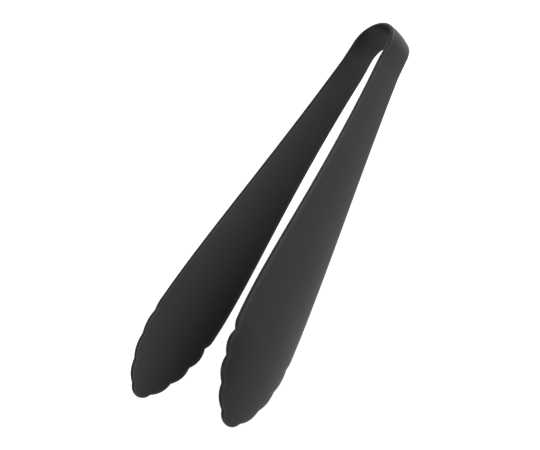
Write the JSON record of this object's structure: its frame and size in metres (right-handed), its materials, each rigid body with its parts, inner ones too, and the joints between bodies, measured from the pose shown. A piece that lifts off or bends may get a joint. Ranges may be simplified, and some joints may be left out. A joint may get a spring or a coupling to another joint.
{
  "type": "kitchen tongs",
  "caption": "Sprung kitchen tongs bent from a single strip: a round bow, flaring arms and dished, leaf-shaped blades with scalloped edges.",
  "frame": {"origin": "centre of the bow's eye, half way across the strip", "axes": "+Y from the tips to the bow, +X from the middle plane to the right arm, +Z across the strip, so that the tongs lie on their side"},
  "size_m": [0.079, 0.2407, 0.0432],
  "materials": {
    "black_nylon": "fine matte moulded surface, charcoal black"
  },
  "bodies": {
    "bow": {"spring_bow": "black_nylon"},
    "right_arm": {"right_handle": "black_nylon", "right_blade": "black_nylon"},
    "left_arm": {"left_handle": "black_nylon", "left_blade": "black_nylon"}
  },
  "joints": [
    {"name": "right_squeeze", "type": "hinge", "parent": "bow", "child": "right_arm", "pos_m": [0.01209, 0.00053, 0], "axis": [0, 0, -1], "range_deg": [0, 8.95], "stiffness_Nm_per_rad": 3},
    {"name": "left_squeeze", "type": "hinge", "parent": "bow", "child": "left_arm", "pos_m": [-0.01209, 0.00053, 0], "axis": [0, 0, 1], "range_deg": [0, 8.95], "stiffness_Nm_per_rad": 3}
  ],
  "couplings": [
    {"joint": "left_squeeze", "follows": "right_squeeze", "ratio": 1}
  ]
}
